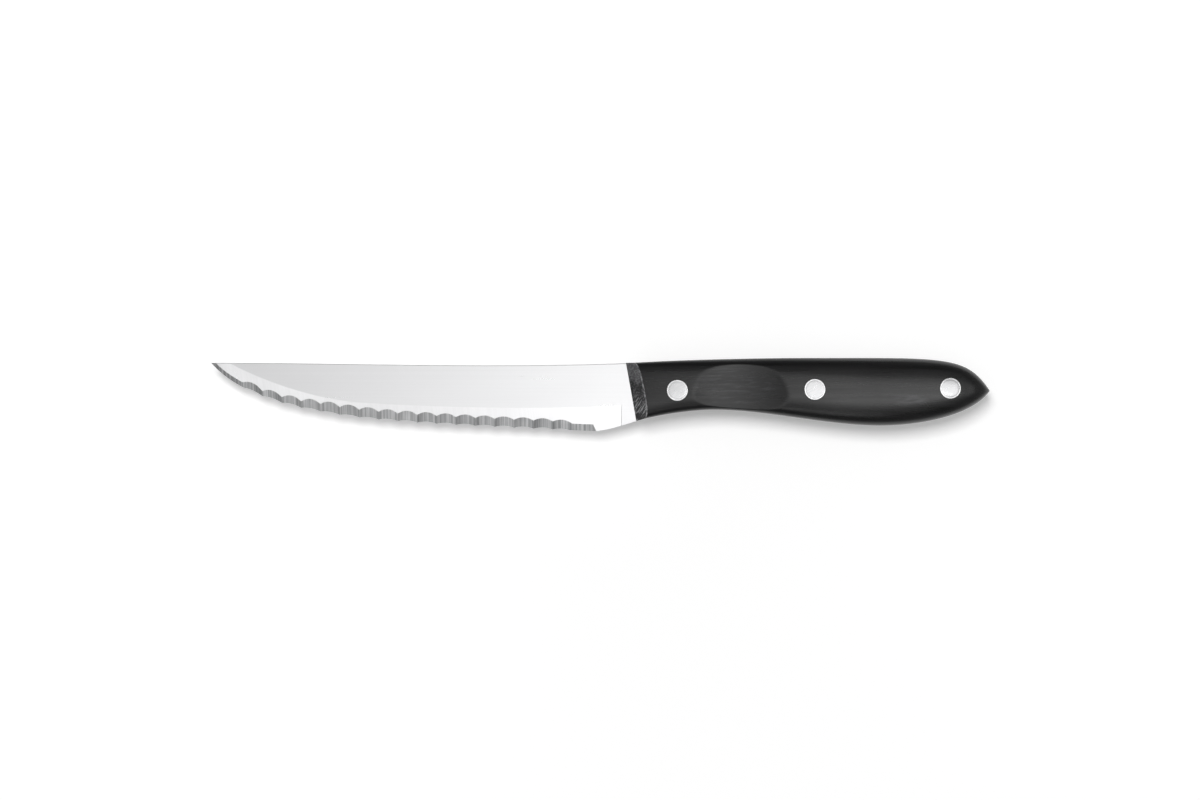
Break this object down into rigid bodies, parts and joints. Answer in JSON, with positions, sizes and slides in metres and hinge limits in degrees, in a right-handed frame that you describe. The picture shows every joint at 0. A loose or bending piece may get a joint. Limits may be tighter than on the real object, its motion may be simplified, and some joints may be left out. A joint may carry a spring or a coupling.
{
  "type": "steak knife",
  "caption": "Full-tang steak knife: upswept pointed blade with a fluted edge, black contoured handle scales with thumb scoops, and flush two-piece rivets.",
  "frame": {"origin": "centre of the bounding box in X and Y, at the lowest point of the lower scale in Z", "axes": "the knife lies on its side: +X from the point towards the butt, +Y from the edge towards the spine, +Z out of the blade's fluted face"},
  "size_m": [0.225, 0.0211, 0.0148],
  "materials": {
    "blade_steel": "satin",
    "scales": "satin",
    "rivets": "polished"
  },
  "bodies": {
    "root": {"blade": "blade_steel", "left_scale": "scales", "right_scale": "scales", "front_rivet_female": "rivets", "front_rivet_male": "rivets", "middle_rivet_female": "rivets", "middle_rivet_male": "rivets", "rear_rivet_female": "rivets", "rear_rivet_male": "rivets"}
  },
  "joints": []
}
